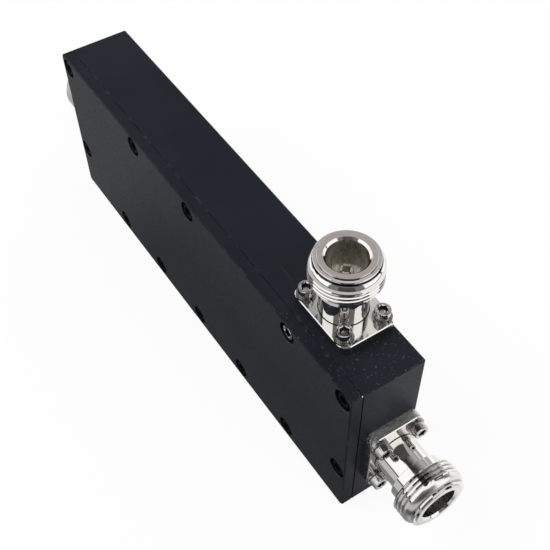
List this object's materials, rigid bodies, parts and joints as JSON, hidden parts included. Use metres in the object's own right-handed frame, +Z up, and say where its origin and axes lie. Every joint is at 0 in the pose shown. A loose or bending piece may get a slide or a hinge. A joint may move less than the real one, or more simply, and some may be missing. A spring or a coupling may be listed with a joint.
{
  "type": "directional coupler",
  "caption": "Slim black directional coupler: milled housing with a screwed cover, threaded coaxial ports on both ends and a coupled port on the narrow top face.",
  "frame": {"origin": "middle of the underside of the closed body, on the plane it stands on", "axes": "+X along the body to the input port, +Z up to the coupled port, -Y out of the cover"},
  "size_m": [0.1684, 0.0196, 0.064],
  "materials": {
    "black_anodised": "black anodised, satin",
    "black_steel": "black oxide",
    "plated_steel": "bright nickel plated",
    "bright_nickel": "bright nickel plated brass",
    "pale_gold": "thin gold plate",
    "white_ptfe": "matt",
    "silver_plate": "silver plated",
    "white_ceramic": "matt"
  },
  "bodies": {
    "root": {"housing": "black_anodised", "cover": "black_anodised", "cover_screws": "black_steel", "plated_cover_screw": "plated_steel", "main_line": "silver_plate", "coupled_line": "silver_plate", "main_line_supports": "white_ptfe", "coupled_line_supports": "white_ptfe", "termination_carrier": "bright_nickel", "termination_chip": "white_ceramic", "termination_tab": "silver_plate", "input_port_body": "bright_nickel", "input_insulator": "white_ptfe", "input_contact": "pale_gold", "input_spring_washers": "plated_steel", "input_flange_screws": "plated_steel", "output_port_body": "bright_nickel", "output_insulator": "white_ptfe", "output_contact": "pale_gold", "output_spring_washers": "plated_steel", "output_flange_screws": "plated_steel", "coupled_port_body": "bright_nickel", "coupled_insulator": "white_ptfe", "coupled_contact": "pale_gold", "coupled_spring_washers": "plated_steel", "coupled_flange_screws": "plated_steel"}
  },
  "joints": []
}
